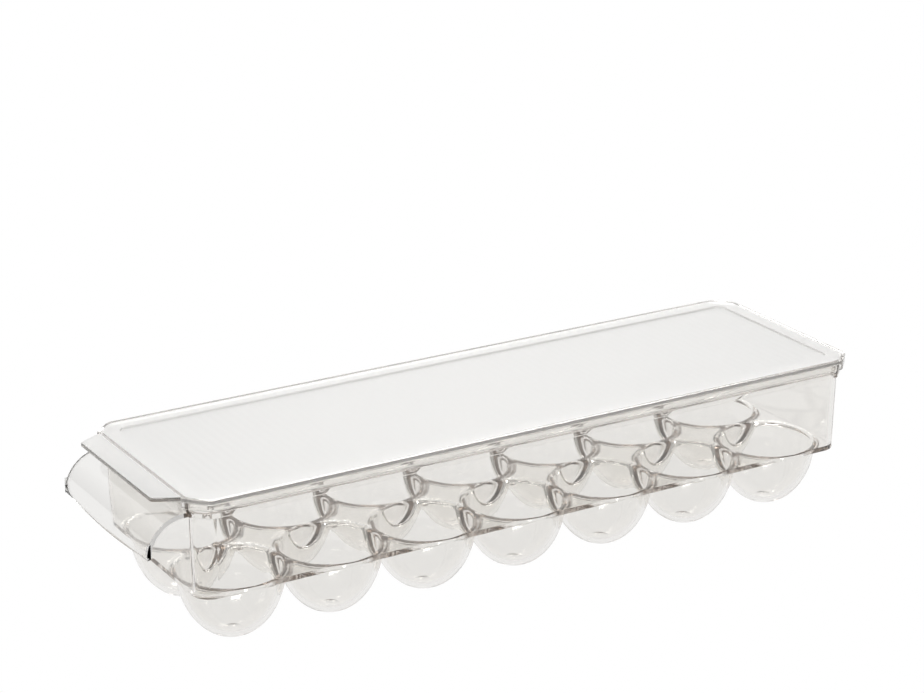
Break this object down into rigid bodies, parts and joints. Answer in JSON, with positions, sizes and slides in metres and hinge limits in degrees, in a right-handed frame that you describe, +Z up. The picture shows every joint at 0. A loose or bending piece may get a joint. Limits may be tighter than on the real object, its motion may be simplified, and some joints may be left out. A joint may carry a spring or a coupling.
{
  "type": "egg holder tray",
  "caption": "Clear refrigerator egg tray with two rows of rounded cups under straight side walls, a curled pull handle at one end and a lift-off lid with a pull tab.",
  "frame": {"origin": "centre of the footprint, on the surface that the cups' flat feet stand on", "axes": "+X along the long side, away from the pull handle; +Y across, to the back row; +Z up"},
  "size_m": [0.372, 0.108, 0.0777],
  "materials": {
    "clear_tray_plastic": "clear, polished moulded plastic",
    "clear_lid_plastic": "clear, polished moulded plastic with a finely ribbed panel"
  },
  "bodies": {
    "tray": {"egg_cup_front_1": "clear_tray_plastic", "egg_cup_front_2": "clear_tray_plastic", "egg_cup_front_3": "clear_tray_plastic", "egg_cup_front_4": "clear_tray_plastic", "egg_cup_front_5": "clear_tray_plastic", "egg_cup_front_6": "clear_tray_plastic", "egg_cup_front_7": "clear_tray_plastic", "egg_cup_back_1": "clear_tray_plastic", "egg_cup_back_2": "clear_tray_plastic", "egg_cup_back_3": "clear_tray_plastic", "egg_cup_back_4": "clear_tray_plastic", "egg_cup_back_5": "clear_tray_plastic", "egg_cup_back_6": "clear_tray_plastic", "egg_cup_back_7": "clear_tray_plastic", "front_wall": "clear_tray_plastic", "back_wall": "clear_tray_plastic", "handle_end_wall": "clear_tray_plastic", "far_end_wall": "clear_tray_plastic", "front_rim": "clear_tray_plastic", "back_rim": "clear_tray_plastic", "handle_end_rim": "clear_tray_plastic", "far_end_rim": "clear_tray_plastic", "pull_handle": "clear_tray_plastic"},
    "lid": {"lid_panel": "clear_lid_plastic", "lid_skirt": "clear_lid_plastic", "lid_pull_tab": "clear_lid_plastic"}
  },
  "joints": [
    {"name": "lid_lift", "type": "slide", "parent": "tray", "child": "lid", "axis": [0, 0, 1], "range_m": [0, 0.12]}
  ]
}
